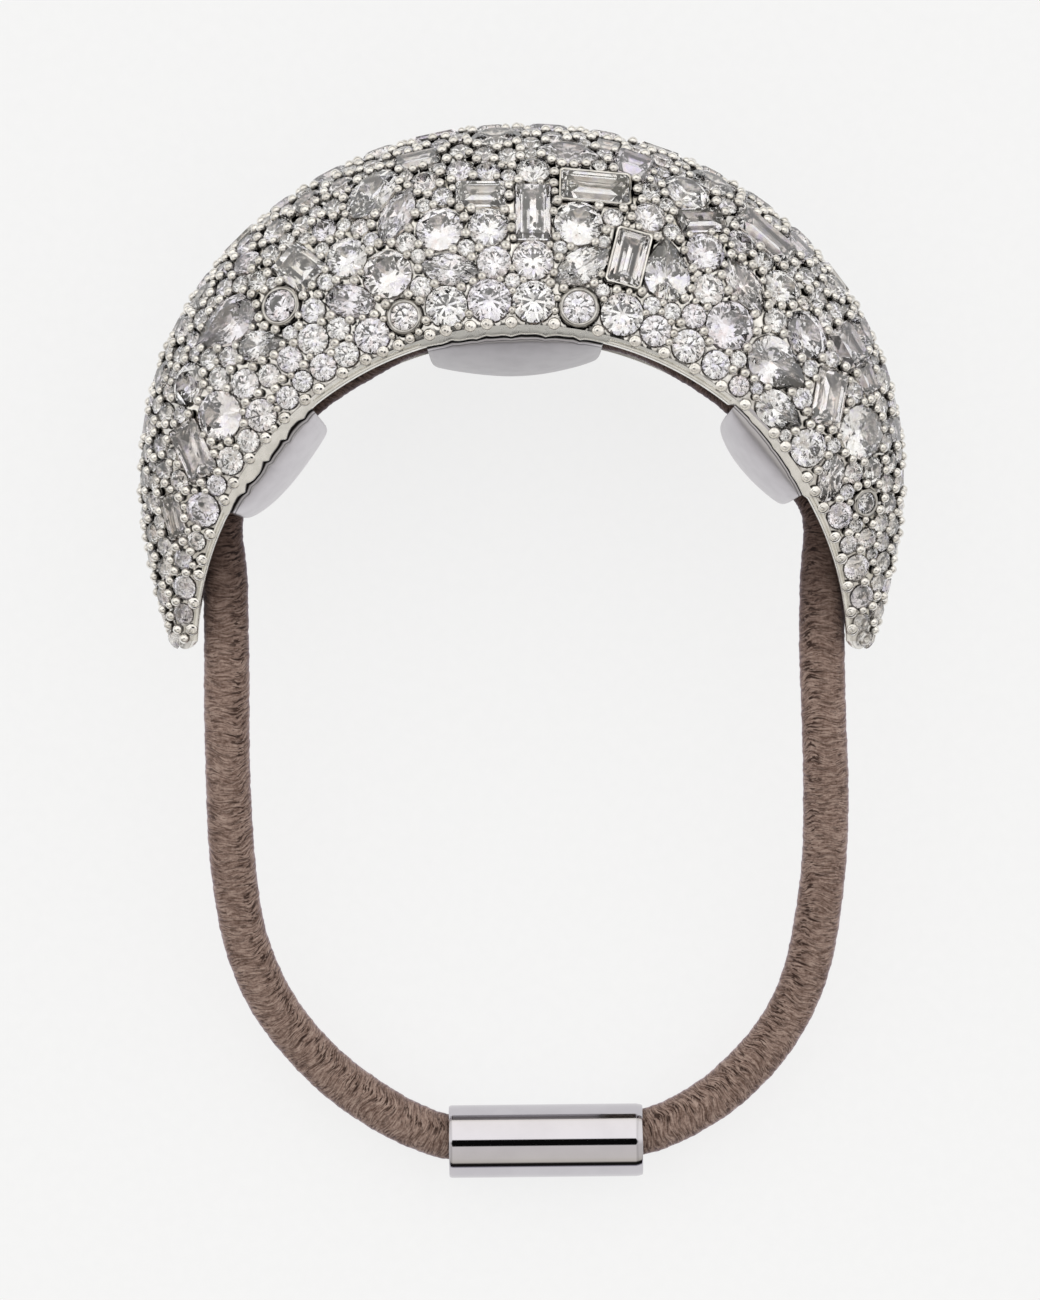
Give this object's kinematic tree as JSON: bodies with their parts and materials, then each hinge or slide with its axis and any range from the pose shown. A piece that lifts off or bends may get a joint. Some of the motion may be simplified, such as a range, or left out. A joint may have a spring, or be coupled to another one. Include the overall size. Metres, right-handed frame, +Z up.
{
  "type": "hair tie",
  "caption": "Hair tie: a hollow domed crescent set all over with clear stones of mixed cuts, plain cord guides inside its rim, and a covered elastic loop closed by a round ferrule.",
  "frame": {"origin": "on the surface that the piece lies on, at the middle of the crescent's box with the elastic and its ferrule left out", "axes": "+X across the crescent from its left end to its right end, +Y from the ferrule to the crest, +Z up out of the front as it lies on its back"},
  "size_m": [0.0668, 0.0921, 0.0261],
  "materials": {
    "plated_shell": "polished rhodium-coloured plating on cast brass, satin on the cord guides",
    "clear_stone": "faceted and polished colourless zirconia",
    "covered_elastic": "ribbed taupe braid over rubber",
    "ferrule_plate": "polished rhodium-coloured plating"
  },
  "bodies": {
    "root": {"jewel_shell": "plated_shell", "elastic_cord": "covered_elastic", "ferrule": "ferrule_plate", "stones_front": "clear_stone", "stones_back": "clear_stone", "bezel_round_front_1": "clear_stone", "bezel_round_front_2": "clear_stone", "bezel_round_front_3": "clear_stone", "bezel_round_front_4": "clear_stone", "framed_step_cut_front_5": "clear_stone", "framed_step_cut_front_6": "clear_stone", "pear_front_7": "clear_stone", "pear_front_8": "clear_stone", "pear_front_9": "clear_stone", "pear_front_10": "clear_stone", "pear_front_11": "clear_stone", "step_cut_front_12": "clear_stone", "step_cut_front_13": "clear_stone", "step_cut_front_14": "clear_stone", "step_cut_front_15": "clear_stone", "marquise_front_16": "clear_stone", "marquise_front_17": "clear_stone", "marquise_front_18": "clear_stone", "marquise_front_19": "clear_stone", "oval_front_20": "clear_stone", "bezel_round_back_1": "clear_stone", "bezel_round_back_2": "clear_stone", "bezel_round_back_3": "clear_stone", "bezel_round_back_4": "clear_stone", "framed_step_cut_back_5": "clear_stone", "framed_step_cut_back_6": "clear_stone", "pear_back_7": "clear_stone", "pear_back_8": "clear_stone", "pear_back_9": "clear_stone", "pear_back_10": "clear_stone", "pear_back_11": "clear_stone", "step_cut_back_12": "clear_stone", "step_cut_back_13": "clear_stone", "step_cut_back_14": "clear_stone", "step_cut_back_15": "clear_stone", "marquise_back_16": "clear_stone", "marquise_back_17": "clear_stone", "marquise_back_18": "clear_stone", "marquise_back_19": "clear_stone", "oval_back_20": "clear_stone"}
  },
  "joints": []
}
